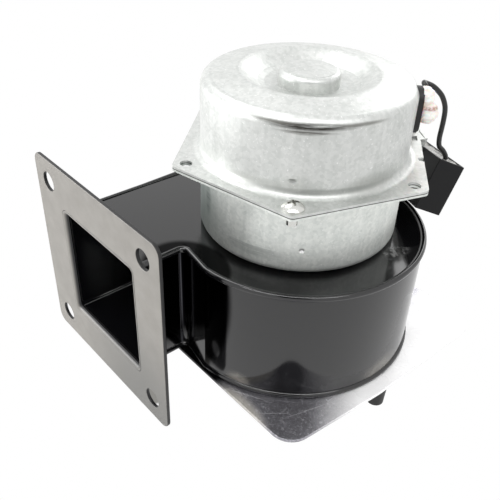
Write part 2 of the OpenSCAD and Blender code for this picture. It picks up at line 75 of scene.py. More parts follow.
# %% Set the camera
AZIMUTH, HEIGHT, ROLL = radians(47.73), radians(35.1), radians(2.49)
AWAY = 0.25
aim = at(7.71, -32.6, 53.7)
back = Vector((sin(AZIMUTH) * cos(HEIGHT), -cos(AZIMUTH) * cos(HEIGHT), sin(HEIGHT)))
tilt = (-back).to_track_quat("-Z", "Y").to_matrix().to_4x4() @ Matrix.Rotation(ROLL, 4, "Z")
cam_data = bpy.data.cameras.new("camera")
cam_data.sensor_width, cam_data.lens = 36, 47.12
cam_data.clip_start, cam_data.clip_end = 0.01, 20
cam = bpy.data.objects.new("camera", cam_data)
scene.collection.objects.link(cam)
cam.matrix_world = Matrix.Translation(aim + back * AWAY) @ tilt
scene.camera = cam
scene.view_settings.view_transform = "Standard"
print("camera", [round(c, 4) for c in cam.location])

# %% [markdown]
# ## How a finish is made
#
# Each finish is a material on Blender's Principled shader. Its nodes can be wired one by one
# in long hand, but one small function that adds a node, sets it, links it and hands back
# what comes out of it keeps a whole finish readable. Colours are written as on a paint
# card, in hex, and turned to the linear numbers that Blender wants.

# %% Write a colour and a pattern's size


def srgb(text):
    """A hex colour as Blender wants it, linear."""
    c = [int(text[i:i + 2], 16) / 255 for i in (0, 2, 4)]
    return [(v / 12.92 if v <= 0.04045 else ((v + 0.055) / 1.055) ** 2.4) for v in c] + [1]


def per(mm):
    """The Scale of a pattern whose features are this many millimetres wide."""
    return 1000 / mm


print("white", srgb("FFFFFF"), "scale for 2 mm", per(2))

# %% Add a node


class Finish:
    """A material and the one way in which nodes are added to it."""

    def __init__(self, name, colour, rough, metal=0.0, **more):
        self.mat = bpy.data.materials.new(name)
        self.mat.use_nodes = True
        self.tree = self.mat.node_tree
        self.bsdf = self.tree.nodes["Principled BSDF"]
        self.set(self.bsdf, Base_Color=srgb(colour), Roughness=rough, Metallic=metal, **more)

    def set(self, node, **values):
        """Set inputs by name, or by i and a number; another node's output is linked."""
        for key, value in values.items():
            by_number = key[0] == "i" and key[1:].isdigit()
            socket = node.inputs[int(key[1:]) if by_number else key.replace("_", " ")]
            if isinstance(value, bpy.types.NodeSocket):
                self.tree.links.new(value, socket)
            else:
                socket.default_value = value

    def node(self, kind, out=0, stops=(), **values):
        """Add a node, set its properties, inputs and colour stops, and give one output."""
        n = self.tree.nodes.new("ShaderNode" + kind)
        for key in [k for k in values if hasattr(n, k)]:
            setattr(n, key, values.pop(key))
        self.set(n, **values)
        while stops and len(n.color_ramp.elements) < len(stops):
            n.color_ramp.elements.new(0.5)
        for stop, (where, colour) in zip(n.color_ramp.elements if stops else (), stops):
            stop.position = where
            stop.color = srgb(colour) if isinstance(colour, str) else (colour, colour, colour, 1)
        return n.outputs[out]

    def place(self, scale=(1, 1, 1)):
        """Object coordinates about the rotor's axis, stretched."""
        return self.node("Mapping", Vector=self.node("TexCoord", "Object"), Scale=scale,
                         Location=(-AX * scale[0], -AY * scale[1], 0))

    def patch(self, spot, size, soft=0.3, power=1.0, turned=0):
        """1 inside an egg of these half sizes in mm about a spot, fading to 0 at its skin."""
        inside = self.node("Mapping", vector_type="TEXTURE", Location=spot,
                           Vector=self.node("TexCoord", "Object"),
                           Rotation=(0, 0, radians(turned)), Scale=[s * MM for s in size])
        far = self.node("VectorMath", "Value", operation="LENGTH", i0=inside)
        return self.node("MapRange", interpolation_type="SMOOTHSTEP", Value=far,
                         From_Min=soft, From_Max=1.0, To_Min=power, To_Max=0.0)


# %% Put a finish on an object


def dress(obj, finish):
    """Give every slot of an object one finish."""
    obj = bpy.data.objects[obj] if isinstance(obj, str) else obj
    if not obj.material_slots:
        obj.data.materials.append(finish.mat)
    for slot in obj.material_slots:
        slot.material = finish.mat


# %% [markdown]
# ## The room
#
# The blower stands in a plain white room. A white floor could be lit until it looks white,
# but that burns out the metal, so the floor is white by itself to the camera and in
# reflections, shows no shadow there, and is plain matt white to all other light. The room
# round it is an even white of strength 1.

# %% Room and floor
world = bpy.data.worlds.new("studio")
scene.world = world
world.use_nodes = True
room = world.node_tree.nodes["Background"].inputs
room["Color"].default_value, room["Strength"].default_value = (1, 1, 1, 1), 1.0

bpy.ops.mesh.primitive_plane_add(size=6, location=(0, 0, -0.5 * MM))
floor = bpy.context.object
floor.name = "floor"
sweep = Finish("matt_white_sweep", "F4F4F4", 0.9)
# the flange's shade on the floor behind its lower corner, seen only through the hole there
shade = sweep.patch(at(-11.8, -68.5, -19), (6, 6, 9), 0.7)
white = sweep.node("Mix", 2, data_type="RGBA", i0=shade, i6=srgb("FFFFFF"), i7=srgb("8E8D89"))
direct = sweep.node("Math", operation="MAXIMUM", i0=sweep.node("LightPath", "Is Camera Ray"),
                    i1=sweep.node("LightPath", "Is Glossy Ray"))
seen = sweep.node("MixShader", i0=direct, i1=sweep.bsdf.outputs[0],
                  i2=sweep.node("Emission", Color=white, Strength=1.0))
sweep.set(sweep.tree.nodes["Material Output"], Surface=seen)
dress(floor, sweep)
print("floor", [round(c, 1) for c in floor.dimensions])

# %% [markdown]
# ## Lamps
#
# Bent metal shows its shape by what it mirrors, so the lamps are broad discs at the left,
# above and behind, with one long strip in front that draws a band of light on the cups. One
# dark upright board behind the camera, as a person standing there would be, gives the metal
# and the paint something dark to mirror as well.

# %% Three soft discs, a strip and the dark board


def soft_light(name, where, size, power):
    data = bpy.data.lights.new(name, "AREA")
    data.shape, data.size, data.energy = "DISK", size, power
    lamp = bpy.data.objects.new(name, data)
    scene.collection.objects.link(lamp)
    lamp.location = where
    lamp.rotation_euler = (Vector((0, 0, 0.06)) - lamp.location).to_track_quat("-Z", "Y").to_euler()
    return lamp


soft_light("over_left", (-0.5, -0.1, 0.9), 0.6, 2.5)
soft_light("behind", (-0.2, 0.8, 0.5), 0.5, 1.4)
soft_light("low_left", (-0.59, -0.68, 0.15), 0.5, 7.5)
strip = soft_light("strip_in_front", (0.35, -0.32, 0.9), 0.07, 3.4)
strip.data.shape, strip.data.size_y = "RECTANGLE", 1.2
strip.rotation_euler.rotate_axis("Z", radians(90) - 0.05)

BOARD, BOARD_AWAY = (0.26, 0.42), 0.6
bpy.ops.mesh.primitive_plane_add(size=1)
board = bpy.context.object
board.name = "dark_board"
board.matrix_world = (Matrix.Translation(aim + back * BOARD_AWAY) @ tilt
                      @ Matrix.Diagonal((*BOARD, 1, 1)))
board.visible_camera = False
dress(board, Finish("matt_dark_cloth", "1E1C1B", 0.9))

# %% [markdown]
# ## Galvanised steel
#
# Motor cups are drawn from zinc-coated sheet. The zinc gives a cool grey with cloudy patches
# and small crystals, and drawing leaves fine lines round the wall. A picture of real zinc
# would do this too, but it would stretch over the round wall, so the pattern is made from
# noise at real sizes. Marks are put on one by one, each as a soft egg-shaped mask at its own
# spot: most are painted shade and painted reflections, and the white flecks are painted
# glints. All pattern sizes are in millimetres.

# %% Make the two cups' finishes
CUP_R = 40
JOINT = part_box("motor_upper_cup")[0][2]


def on_cup(angle, z):
    """A spot on a cup's wall."""
    return at(CUP_R * cos(radians(angle)), CUP_R * sin(radians(angle)), z)


def galvanised(name, dark, pale, metal, rough, marks=()):
    """Zinc-coated sheet between two greys, with marks: kind, spot, half sizes, colour, share."""
    m = Finish(name, pale, rough, metal)
    drawn = m.node("TexNoise", Vector=m.place((1, 1, 0.05)), Scale=per(2.4), Detail=3)
    cloud = m.node("TexNoise", Vector=m.place(), Scale=per(8), Detail=4, Roughness=0.6)
    crystal = m.node("TexVoronoi", "Color", Vector=m.place(), Scale=per(1.1))
    crystal = m.node("SeparateColor", Color=crystal)
    greys = [m.node("ValToRGB", Fac=fac, stops=((low, dark), (high, pale)))
             for fac, low, high in ((cloud, 0.25, 0.75), (drawn, 0.3, 0.7), (crystal, 0.0, 1.0))]
    tone = m.node("Mix", 2, data_type="RGBA", i0=0.4, i6=greys[0], i7=greys[1])
    tone = m.node("Mix", 2, data_type="RGBA", i0=0.35, i6=tone, i7=greys[2])
    # painted glints, white where a crystal faces the light; they are coarser than real ones, to
    # show
    painted_glint = m.node("TexNoise", Vector=m.place(), Scale=per(0.9), Detail=2)
    painted_glint = m.node("ValToRGB", Fac=painted_glint, stops=((0.67, 0.0), (0.72, 0.5)))
    tone = m.node("Mix", 2, data_type="RGBA", i0=painted_glint, i6=tone, i7=srgb("FFFFFF"))
    # a dark hairline where the two cups' flanges meet
    height = m.node("SeparateXYZ", "Z", Vector=m.node("TexCoord", "Object"))
    off = m.node("Math", operation="SUBTRACT", i0=height, i1=JOINT)
    off = m.node("Math", operation="ABSOLUTE", i0=off)
    hairline = m.node("MapRange", Value=off, From_Min=0.1 * MM, From_Max=0.22 * MM,
                      To_Min=1.0, To_Max=0.0)
    tone = m.node("Mix", 2, data_type="RGBA", i0=hairline, i6=tone, i7=srgb("3A3A38"))
    skin = m.node("TexNoise", Vector=m.place(), Scale=per(2.6), Detail=3)
    normal = m.node("Bump", Height=skin, Distance=0.03 * MM, Strength=0.4)
    normal = m.node("Bump", Height=drawn, Distance=0.05 * MM, Strength=0.4, Normal=normal)
    # a streaked mark is broken up along the wall
    broken = m.node("TexNoise", Vector=m.place((0.12, 0.12, 2.2)), Scale=per(3.5), Detail=4,
                    Roughness=0.7)
    broken = m.node("ValToRGB", Fac=broken, stops=((0.36, 0.0), (0.52, 1.0)))
    for kind, spot, size, colour, share in marks:
        mask = m.patch(spot, size, 0.25, share)
        if kind == "streaked":
            mask = m.node("Math", operation="MULTIPLY", i0=mask, i1=broken)
        if kind == "dent":
            normal = m.node("Bump", Height=mask, Distance=-0.5 * MM, Strength=1.0, Normal=normal)
        tone = m.node("Mix", 2, data_type="RGBA", i0=mask, i6=tone, i7=srgb(colour))
    m.set(m.bsdf, Base_Color=tone, Normal=normal)
    return m


# a dark reflection band is painted below the upper cup's shoulder, broken up by noise; each
# cup has a dent or a punch mark in front
steel_up = galvanised("galvanised_steel_upper", "BCBFBC", "E0E1DF", 0.85, 0.44, [
    ("streaked", on_cup(-44, 110.6), (21, 21, 1.7), "35332F", 1.0),
    ("streaked", on_cup(-46, 108.6), (13, 13, 1.0), "55544F", 0.9),
    ("streaked", on_cup(-62, 111.2), (12, 12, 0.8), "6A6963", 0.7),
    ("streaked", on_cup(-18, 111.0), (12, 12, 0.9), "6A6963", 0.7),
    # a dimple, bumped in, with shade painted into it
    ("dent", on_cup(-50.4, 90.9), (2.2, 2.2, 1.1), "8B8D8B", 0.7),
    # painted shade low on the upper cup's wall, where it meets the flange
    ("painted_dark", on_cup(-10, 88), (16, 16, 5), "A9ABA7", 0.6),
    ("painted_dark", on_cup(-70, 88), (16, 16, 3), "B4B6B2", 0.5),
    ("painted_dark", on_cup(-32, 87.2), (34, 34, 1.5), "7E817D", 0.6),
])
steel_low = galvanised("galvanised_steel_lower", "C6CBC7", "F2F4F0", 0.7, 0.45, [
    # a painted dark reflection over the lower cup's left, and a narrow painted dark band beside it
    ("painted_dark", on_cup(-124, 68), (31, 31, 34), "76827E", 0.75),
    ("streaked", on_cup(-105, 70), (3, 3, 8), "59625F", 0.6),
    # a darker patch low in front, broken up by noise
    ("streaked", on_cup(-70, 60), (16, 16, 4), "9EA3A0", 0.6),
    # a punch mark, bumped in, with a painted white highlight
    ("dent", on_cup(-42.8, 62.9), (1.3, 1.3, 1.2), "FFFFFF", 1.0),
])
print("galvanised", steel_up.mat.name, steel_low.mat.name)

# %% [markdown]
# ## Other metals
#
# Screws are zinc plated, bright with a slight ripple. The parts inside the motor hardly
# show, so each is a plain metal of its own tone: ground steel is bright and even, stacked
# core sheet is dull, and winding wire has the red of copper under its clear enamel.

# %% Screws and the motor's inside
zinc = Finish("zinc_plated_screw", "D8D8D4", 0.22, 1.0)
ripple = zinc.node("TexNoise", Vector=zinc.place(), Scale=per(1.5), Detail=2)
zinc.set(zinc.bsdf, Normal=zinc.node("Bump", Height=ripple, Distance=0.02 * MM, Strength=0.5))

ground = Finish("ground_bearing_steel", "C8C8CA", 0.25, 1.0)
laminated = Finish("laminated_core_steel", "55565A", 0.6, 1.0)
copper = Finish("enamelled_copper_wire", "B06A3A", 0.35, 1.0)
print("metals", [m.mat.name for m in (zinc, ground, laminated, copper)])

# %% [markdown]
# ## Polished base plate
#
# The plate is bright rolled sheet. Where it was handled, at the front corner, it is dull and
# specked with a few long scratches; to the right it fades into the white room that it
# mirrors. A true mirror would need the whole room round it, so a soft mask paints that
# reflection there instead, white and not metallic. A beige reflection is painted along the
# front edge, and painted shade blackens the inner corner at the duct's foot.

# %% Make the plate's finish
plate = Finish("polished_steel_plate", "BDBBC0", 0.26, 0.8)
speck = plate.node("TexNoise", Vector=plate.place(), Scale=per(0.8), Detail=3)
speck = plate.node("ValToRGB", Fac=speck,
                   stops=((0.34, "CDCBD2"), (0.46, "87868C"), (0.62, "A7A6AC")))
spots = plate.node("TexNoise", Vector=plate.place(), Scale=per(2.2), Detail=5, Roughness=0.8)
spots = plate.node("ValToRGB", Fac=spots, stops=((0.56, 0.0), (0.64, 0.55)))
speck = plate.node("Mix", 2, data_type="RGBA", i0=spots, i6=speck, i7=srgb("F2F1F6"))
# each scratch: its middle, half its length and its turn; wider than real, to show
for x, y, half_long, turned in ((48.4, -35.2, 16, 73.8), (28.1, -48.5, 12, 29.2), (41, -47, 9, 52)):
    scratch = plate.patch(at(x, y, 1.5), (half_long, 0.28, 5), 0.2, 0.75, turned)
    speck = plate.node("Mix", 2, data_type="RGBA", i0=scratch, i6=speck, i7=srgb("F6F5FA"))
# painted reflection of the white room to the right: the metal turns white and not metallic
painted_room_reflection = plate.patch(at(68, 62, 1.5), (42, 114, 90), 0.7, 0.92)
# a painted beige reflection along the plate's front edge
painted_beige_reflection = plate.patch(at(30, -57, 1.5), (20, 8.8, 20), 0.5, 0.6)
# painted shade, near black, in the inner corner at the duct's foot
painted_corner_shade = plate.patch(at(1, -52, 1.5), (19, 9, 20), 0.6)
tone = plate.node("Mix", 2, data_type="RGBA", i0=painted_beige_reflection, i6=speck, i7=srgb("BDB8AC"))
tone = plate.node("Mix", 2, data_type="RGBA", i0=painted_room_reflection, i6=tone, i7=srgb("FFFFFF"))
tone = plate.node("Mix", 2, data_type="RGBA", i0=painted_corner_shade, i6=tone, i7=srgb("1A1A1C"))
pale = plate.node("Math", operation="MAXIMUM", i0=painted_room_reflection, i1=painted_beige_reflection)
wear = plate.node("TexNoise", Vector=plate.place(), Scale=per(14), Detail=4)
rolled = plate.node("TexNoise", Vector=plate.place((0.25, 3, 1)), Scale=per(1.2), Detail=2)
plate.set(plate.bsdf, Base_Color=tone,
          Metallic=plate.node("MapRange", Value=pale, To_Min=0.8, To_Max=0.0),
          Roughness=plate.node("ValToRGB", Fac=wear, stops=((0.35, 0.16), (0.65, 0.36))),
          Normal=plate.node("Bump", Height=rolled, Distance=0.02 * MM, Strength=0.4))
print("plate finish", plate.mat.name)

# %% [markdown]
# ## Glossy black enamel
#
# The scroll is dipped and baked: deep black, sharply mirroring, with a faint orange peel.
# Paint that mirrors a white room all over looks grey, and a real one has dark things about
# it. Instead of building those, two masks paint shade: they darken the paint and its
# reflections in the neck between duct and scroll and on the top plate before the motor. Pale
# reflections of the floor are painted low down, a pale grey patch lies on the top plate, and
# a highlight is painted up the bend at the tongue.

# %% Make the enamel


def enamel(name):
    """Glossy black paint with soft orange peel."""
    m = Finish(name, "0A0A0C", 0.11, IOR=1.68)
    peel = m.node("TexNoise", Vector=m.place(), Scale=per(5), Detail=2)
    m.set(m.bsdf, Normal=m.node("Bump", Height=peel, Distance=0.03 * MM, Strength=0.25))
    return m


bead_black = enamel("black_enamel_seams")
black = enamel("black_enamel_scroll")
# painted shade: the neck and the top plate before the motor lose their reflections
neck = black.patch(at(0, -57, 40), (21, 18, 42), 0.85)
before_cup = black.patch(at(20, -24, 52), (33, 33, 3), 0.5, 0.55)
# a painted highlight up the bend at the tongue
painted_bend_highlight = black.patch(at(-10.9, -52.4, 27), (0.9, 0.9, 60), 0.2, 0.8)
# a pale grey patch on the top plate, and painted reflections of the floor low on the wall,
# each broken up by noise
cloth = black.node("TexNoise", Vector=black.place(), Scale=per(2.5), Detail=4, Roughness=0.7)
cloth = black.node("ValToRGB", Fac=cloth, stops=((0.48, 0.0), (0.62, 1.0)))
pale_top_patch = black.node("Math", operation="MULTIPLY", i1=cloth,
                   i0=black.patch(at(42, 13, 52), (5, 9, 3), 0.2, 0.4))
reflection_breakup = black.node("TexNoise", Vector=black.place(), Scale=per(4), Detail=4, Roughness=0.6)
reflection_breakup = black.node("ValToRGB", Fac=reflection_breakup, stops=((0.3, 0.35), (0.7, 1.0)))
painted_floor_reflection = black.node("Math", operation="MAXIMUM",
                  i0=black.patch(at(22, -49, 5), (9, 4, 5.5), 0.2, 0.5),
                  i1=black.patch(at(53, 2, 6), (5, 15, 8), 0.2, 0.4))
painted_floor_reflection = black.node("Math", operation="MULTIPLY", i0=painted_floor_reflection, i1=reflection_breakup)
coat = srgb("0A0A0C")
for mask, colour in ((neck, "020203"), (painted_floor_reflection, "A39E95"), (pale_top_patch, "B5B5B5"), (painted_bend_highlight, "5B5B60")):
    coat = black.node("Mix", 2, data_type="RGBA", i0=mask, i6=coat, i7=srgb(colour))
black.set(black.bsdf, Base_Color=coat,
          Metallic=black.node("Math", operation="MAXIMUM", i0=neck, i1=before_cup))
print("enamel", bead_black.mat.name, black.mat.name)

# %% [markdown]
# ## Flange face with a painted reflection
#
# The outlet flange is black like the scroll. Its face mirrors the bright floor at a low
# angle, and that reflection is painted on as a satin grey, darker towards the foot; behind it
# and on its edges the black shows. One finish can do both, because a surface knows which way
# it faces.

# %% Make the flange's finish
satin = Finish("satin_flange_painted_reflection", "8A8782", 0.42, IOR=1.5)
facing = satin.node("SeparateXYZ", "Y", Vector=satin.node("NewGeometry", "Normal"))
front = satin.node("MapRange", Value=facing, From_Min=-0.6, From_Max=-0.95,
                   To_Min=0.0, To_Max=1.0)
mottle = satin.node("TexNoise", Vector=satin.place(), Scale=per(6), Detail=4)
mottle = satin.node("ValToRGB", Fac=mottle, stops=((0.3, "75726D"), (0.7, "7E7B76")))
# the face turns darker towards its foot
foot = satin.patch(at(-5, -70, -22), (62, 40, 62), 0.2)
face = satin.node("Mix", 2, data_type="RGBA", i0=foot, i6=mottle, i7=srgb("62615E"))
# painted reflection: the face is grey, the back and edges black
face = satin.node("Mix", 2, data_type="RGBA", i0=front, i6=srgb("161617"), i7=face)
spray = satin.node("TexNoise", Vector=satin.place(), Scale=per(1.2), Detail=3)
satin.set(satin.bsdf, Base_Color=face,
          Normal=satin.node("Bump", Height=spray, Distance=0.01 * MM, Strength=0.4))
print("satin", satin.mat.name)

# %% [markdown]
# ## Rubber and plastics
#
# Moulded rubber is black and dull. The capacitor's case is moulded with a fine grain, and
# its back is filled with poured resin, which sets glossy and uneven. The sleeve is soft
# pink tube that lets some light in, with shade painted into the crease where it is squeezed
# together.

# %% Make the soft finishes
rubber = Finish("moulded_black_rubber", "141414", 0.5)

case_black = Finish("moulded_case_plastic", "0B0B0D", 0.5, IOR=1.36)
grain = case_black.node("TexNoise", Vector=case_black.place(), Scale=per(0.6), Detail=2)
case_black.set(case_black.bsdf, Normal=case_black.node(
    "Bump", Height=grain, Distance=0.01 * MM, Strength=0.5))

resin = Finish("poured_potting_resin", "6E6D69", 0.12)
swirl = resin.node("TexNoise", Vector=resin.place(), Scale=per(4), Detail=4)
flow = resin.node("TexNoise", Vector=resin.place(), Scale=per(3.5), Detail=3)
resin.set(resin.bsdf,
          Base_Color=resin.node("ValToRGB", Fac=swirl, stops=((0.35, "4B4A47"), (0.62, "A9A8A3"))),
          Normal=resin.node("Bump", Height=flow, Distance=0.25 * MM, Strength=0.7))

wire_black = Finish("smooth_wire_jacket", "161615", 0.3)
lead_grey = Finish("pale_lead_jacket", "D9D6D1", 0.4)
nylon = Finish("moulded_black_nylon", "121212", 0.35)

sleeve_pink = Finish("pale_pink_sleeve", "F0DDD6", 0.35, Subsurface_Weight=0.4)
blush = sleeve_pink.node("TexNoise", Vector=sleeve_pink.place(), Scale=per(4), Detail=4)
blush = sleeve_pink.node("ValToRGB", Fac=blush, stops=((0.35, "E8D2CA"), (0.6, "FAF6F4")))
# painted shade in the crease where the two lobes are squeezed together
fold = sleeve_pink.node("TexNoise", Vector=sleeve_pink.place(), Scale=per(2.2), Detail=4,
                        Roughness=0.7)
fold = sleeve_pink.node("ValToRGB", Fac=fold, stops=((0.40, 0.0), (0.55, 0.75)))
fold = sleeve_pink.node("Math", operation="MULTIPLY", i0=fold,
                        i1=sleeve_pink.patch(at(36, 27, 105.4), (9, 9, 0.9), 0.3))
crinkle = sleeve_pink.node("TexNoise", Vector=sleeve_pink.place(), Scale=per(1.8), Detail=3)
sleeve_pink.set(sleeve_pink.bsdf,
                Base_Color=sleeve_pink.node("Mix", 2, data_type="RGBA", i0=fold, i6=blush,
                                            i7=srgb("6B4A40")),
                Normal=sleeve_pink.node("Bump", Height=crinkle, Distance=0.25 * MM, Strength=0.6))
print("soft finishes", [m.mat.name for m in (rubber, case_black, resin, wire_black, sleeve_pink)])

# %% [markdown]
# ## Dress the CAD nodes
#
# A solid whose shape is right keeps its mesh and only gets its finish. The few that are
# modelled again below are dressed too, so that nothing is bare if one of them is shown.

# %% Finishes by node
LOOKS = {
    plate: ["base_plate"],
    black: ["scroll_bottom_plate", "scroll_wall", "scroll_top_plate", "scroll_seams"],
    satin: ["outlet_flange"],
    steel_low: ["motor_lower_cup"],
    steel_up: ["inlet_ring", "motor_upper_cup", "capacitor_bracket", "impeller_backplate",
               "impeller_blades"],
    zinc: ["flange_screws", "motor_screws", "impeller_hub"],
    laminated: ["stator_core", "rotor_core"],
    copper: ["stator_windings"],
    ground: ["lower_bearing", "upper_bearing", "motor_shaft"],
    rubber: ["rubber_feet", "grommet"],
    nylon: ["lead_tie", "hub_screw"],
    case_black: ["capacitor_case"],
    resin: ["capacitor_potting"],
    sleeve_pink: ["lead_sleeve"],
    lead_grey: ["supply_lead", "lead_coil"],
    wire_black: ["capacitor_wire"],
}
for finish, names in LOOKS.items():
    for name in names:
        dress(name, finish)
print(sum(len(names) for names in LOOKS.values()), "nodes dressed")

# %% [markdown]
# ## Modelling tools
#
# An operator acts on all that is selected, so each piece is made the only selected one
# first. A finished piece keeps its place in its mesh, as the CAD nodes do, and says which
# body it rides on and which nodes it stands for.

# %% Link and select


def link(name, data):
    """A new object for this mesh or curve."""
    obj = bpy.data.objects.new(name, data)
    scene.collection.objects.link(obj)
    return obj


def only(obj, *others):
    """Select these objects and nothing else; the first one is active."""
    bpy.ops.object.select_all(action="DESELECT")
    for o in (obj, *others):
        o.select_set(True)
    bpy.context.view_layer.objects.active = obj


only(floor)
print("selected", [o.name for o in bpy.context.selected_objects])

# %% Modify, settle and fit a piece


def modify(obj, kind, **values):
    """Add a modifier and apply it at once."""
    only(obj)
    m = obj.modifiers.new(kind, kind)
    for key, value in values.items():
        setattr(m, key, value)
    bpy.ops.object.modifier_apply(modifier=m.name)


def settle(obj):
    """Move an object's place into its mesh and turn its faces out."""
    only(obj)
    bpy.ops.object.transform_apply(location=True, rotation=True, scale=True)
    bpy.ops.object.mode_set(mode="EDIT")
    bpy.ops.mesh.select_all(action="SELECT")
    bpy.ops.mesh.normals_make_consistent(inside=False)
    bpy.ops.object.mode_set(mode="OBJECT")


def fit(obj, finish, slot, *nodes):
    """Fit a new piece into the housing: its look and the nodes it stands for; the slot is not used.
    """
    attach(obj, "housing")
    dress(obj, finish)
    if nodes:
        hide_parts(*nodes)


def beside_cad(obj, low, high):
    """Print a piece's size beside that of the node it stands for."""
    print(obj.name, [round(c, 4) for c in obj.dimensions],
          "CAD", [round(b - a, 4) for a, b in zip(low, high)])


print("tools ready:", [f.__name__ for f in (link, only, modify, settle, fit, beside_cad)])


# %% [markdown]
# ## Flat sheets
#
# The plate, the flange and the patch at the tongue are all cut from flat sheet. A cube could
# be cut to shape, but a flat curve holds an outline with holes as one thing: it is filled,
# given its thickness and a softened edge, and made a mesh. The outline itself is worked out
# from a few corners and one radius, as on a drawing. The fill and the edge come apart when
# the curve is made a mesh, so their doubles are merged, and the two flat faces stay flat.

# %% Outlines and sheets


def arc(cx, cy, r, start, end, steps):
    """Points along an arc, between two angles in degrees."""
    turns = [radians(start + (end - start) * k / steps) for k in range(steps + 1)]
    return [(cx + r * cos(t), cy + r * sin(t)) for t in turns]


def round_corners(corners, r):
    """A closed outline with every corner rounded."""
    out = []
    for i, corner in enumerate(corners):
        following = corners[(i + 1) % len(corners)]
        p, before, after = Vector(corner), Vector(corners[i - 1]), Vector(following)
        u, v = (before - p).normalized(), (after - p).normalized()
        half = u.angle(v) / 2
        middle = p + (u + v).normalized() * (r / sin(half))
        start, end = (atan2(*reversed(p + w * (r / tan(half)) - middle)) for w in (u, v))
        if end < start - 1e-6:
            end += 2 * pi
        out += arc(*middle, r, degrees(start), degrees(end), 12)
    return out


def square_ring(cx, cy, size, r):
    """A closed square outline with rounded corners."""
    h = size / 2
    signs = ((-1, -1), (1, -1), (1, 1), (-1, 1))
    return round_corners([(cx + h * i, cy + h * k) for i, k in signs], r)


def sheet_of(name, rings, thick_mm, soft_mm):
    """A flat sheet about z = 0 with an outline, holes and softened edges, in mm."""
    data = bpy.data.curves.new(name, "CURVE")
    data.dimensions, data.fill_mode = "2D", "BOTH"
    data.extrude = (thick_mm / 2 - soft_mm) * MM
    data.bevel_depth, data.bevel_resolution, data.offset = soft_mm * MM, 2, -soft_mm * MM
    for ring in rings:
        spline = data.splines.new("POLY")
        spline.points.add(len(ring) - 1)
        spline.use_cyclic_u = True
        for p, (x, y) in zip(spline.points, ring):
            p.co = (x * MM, y * MM, 0, 1)
    only(link(name, data))
    bpy.ops.object.convert(target="MESH")
    bpy.ops.object.mode_set(mode="EDIT")
    bpy.ops.mesh.select_all(action="SELECT")
    bpy.ops.mesh.remove_doubles(threshold=0.001 * MM)
    bpy.ops.object.mode_set(mode="OBJECT")
    sheet = bpy.context.object
    for face in sheet.data.polygons:
        face.use_smooth = face.use_smooth and abs(face.normal.z) < 0.99
    return sheet


print("one corner has", len(round_corners([(0, 0), (9, 0), (9, 9), (0, 9)], 2)) // 4, "points")

# %% [markdown]
# ## Base plate
#
# A nearly square sheet with round corners, under the scroll; its right edge runs in a little
# towards the front, and the air inlet's ring fills the hole in its middle.

# %% Cut the plate
FRONT_EDGE, RUN_IN, RUN_FROM, CORNER = -53.6, 3.8, -6, 9.5
INLET_HOLE = 34.5
low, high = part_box("base_plate")
LEFT, RIGHT, REAR = (low[0] - AX) / MM, (high[0] - AX) / MM, (high[1] - AY) / MM
outline = round_corners([(LEFT, FRONT_EDGE), (RIGHT - RUN_IN, FRONT_EDGE), (RIGHT, RUN_FROM),
                         (RIGHT, REAR), (LEFT, REAR)], CORNER)
inlet_hole = arc(0, 0, INLET_HOLE, 0, 360 - 3.75, 95)
sheet = sheet_of("base_sheet", [outline, inlet_hole], (high[2] - low[2]) / MM, 0.15)
sheet.location = (AX, AY, (low[2] + high[2]) / 2)
settle(sheet)
fit(sheet, plate, "plate_steel", "base_plate")
beside_cad(sheet, low, high)

# %% [markdown]
# ## Outlet flange
#
# A flat frame for four bolts, pressed out of sheet. The press rolls the edge of its opening
# back into the duct in a wide soft lip, which catches a line of light. A bevel on the frame
# can't roll that far, so the lip is laid as rings round the opening, each a step further
# round a quarter circle, bridged with faces and given its thickness.

# %% Cut the frame
FLANGE_T, PLATE_T, WALL, DUCT = 1.5, 1.5, 0.8, 48.9
PITCH, BOLT_R, FRAME_CORNER = 70, 4.25, 4.5
LIP, LIP_T, LIP_STEPS = 2.4, 0.7, 8
low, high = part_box("outlet_flange")
FX, FZ = (low[0] + high[0]) / 2, (low[2] + high[2]) / 2
duct_x = (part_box("scroll_wall")[0][0] - FX) / MM + WALL + DUCT / 2
duct_z = (PLATE - FZ) / MM + PLATE_T + WALL + DUCT / 2
bolt_holes = [[(PITCH / 2 * i + x, PITCH / 2 * k + z) for x, z in arc(0, 0, BOLT_R, 0, 352.5, 47)]
              for i in (-1, 1) for k in (-1, 1)]
frame_sheet = sheet_of("outlet_frame", [
    square_ring(0, 0, (high[0] - low[0]) / MM, FRAME_CORNER),
    square_ring(duct_x, duct_z, DUCT + 2 * LIP, 1 + LIP)] + bolt_holes, FLANGE_T, 0.3)
print("frame with", len(bolt_holes), "bolt holes")

# %% Roll the lip
lip_points = []
for k in range(LIP_STEPS + 1):
    bend = radians(90 * k / LIP_STEPS)
    out, deep = LIP * (1 - sin(bend)), LIP * (1 - cos(bend))
    ring = square_ring(duct_x, duct_z, DUCT - 0.1 + 2 * out, 1 + out)
    lip_points += [(x * MM, z * MM, (FLANGE_T / 2 - deep) * MM) for x, z in ring]
around = len(ring)
lip_faces = [(a + q, a + (q + 1) % around, a + around + (q + 1) % around, a + around + q)
             for a in range(0, LIP_STEPS * around, around) for q in range(around)]
lip_mesh = bpy.data.meshes.new("outlet_lip")
lip_mesh.from_pydata(lip_points, [], lip_faces)
lip = link("outlet_lip", lip_mesh)
only(lip)
bpy.ops.object.shade_smooth()
modify(lip, "SOLIDIFY", thickness=LIP_T * MM, offset=-1)
only(frame_sheet, lip)
bpy.ops.object.join()
flange = bpy.context.object
flange.name = "outlet_flange_soft"
flange.matrix_world = (Matrix.Translation((FX, low[1] + FLANGE_T / 2 * MM, FZ))
                       @ Matrix.Rotation(radians(90), 4, "X"))
settle(flange)
fit(flange, satin, "flange_paint", "outlet_flange")
beside_cad(flange, low, high)

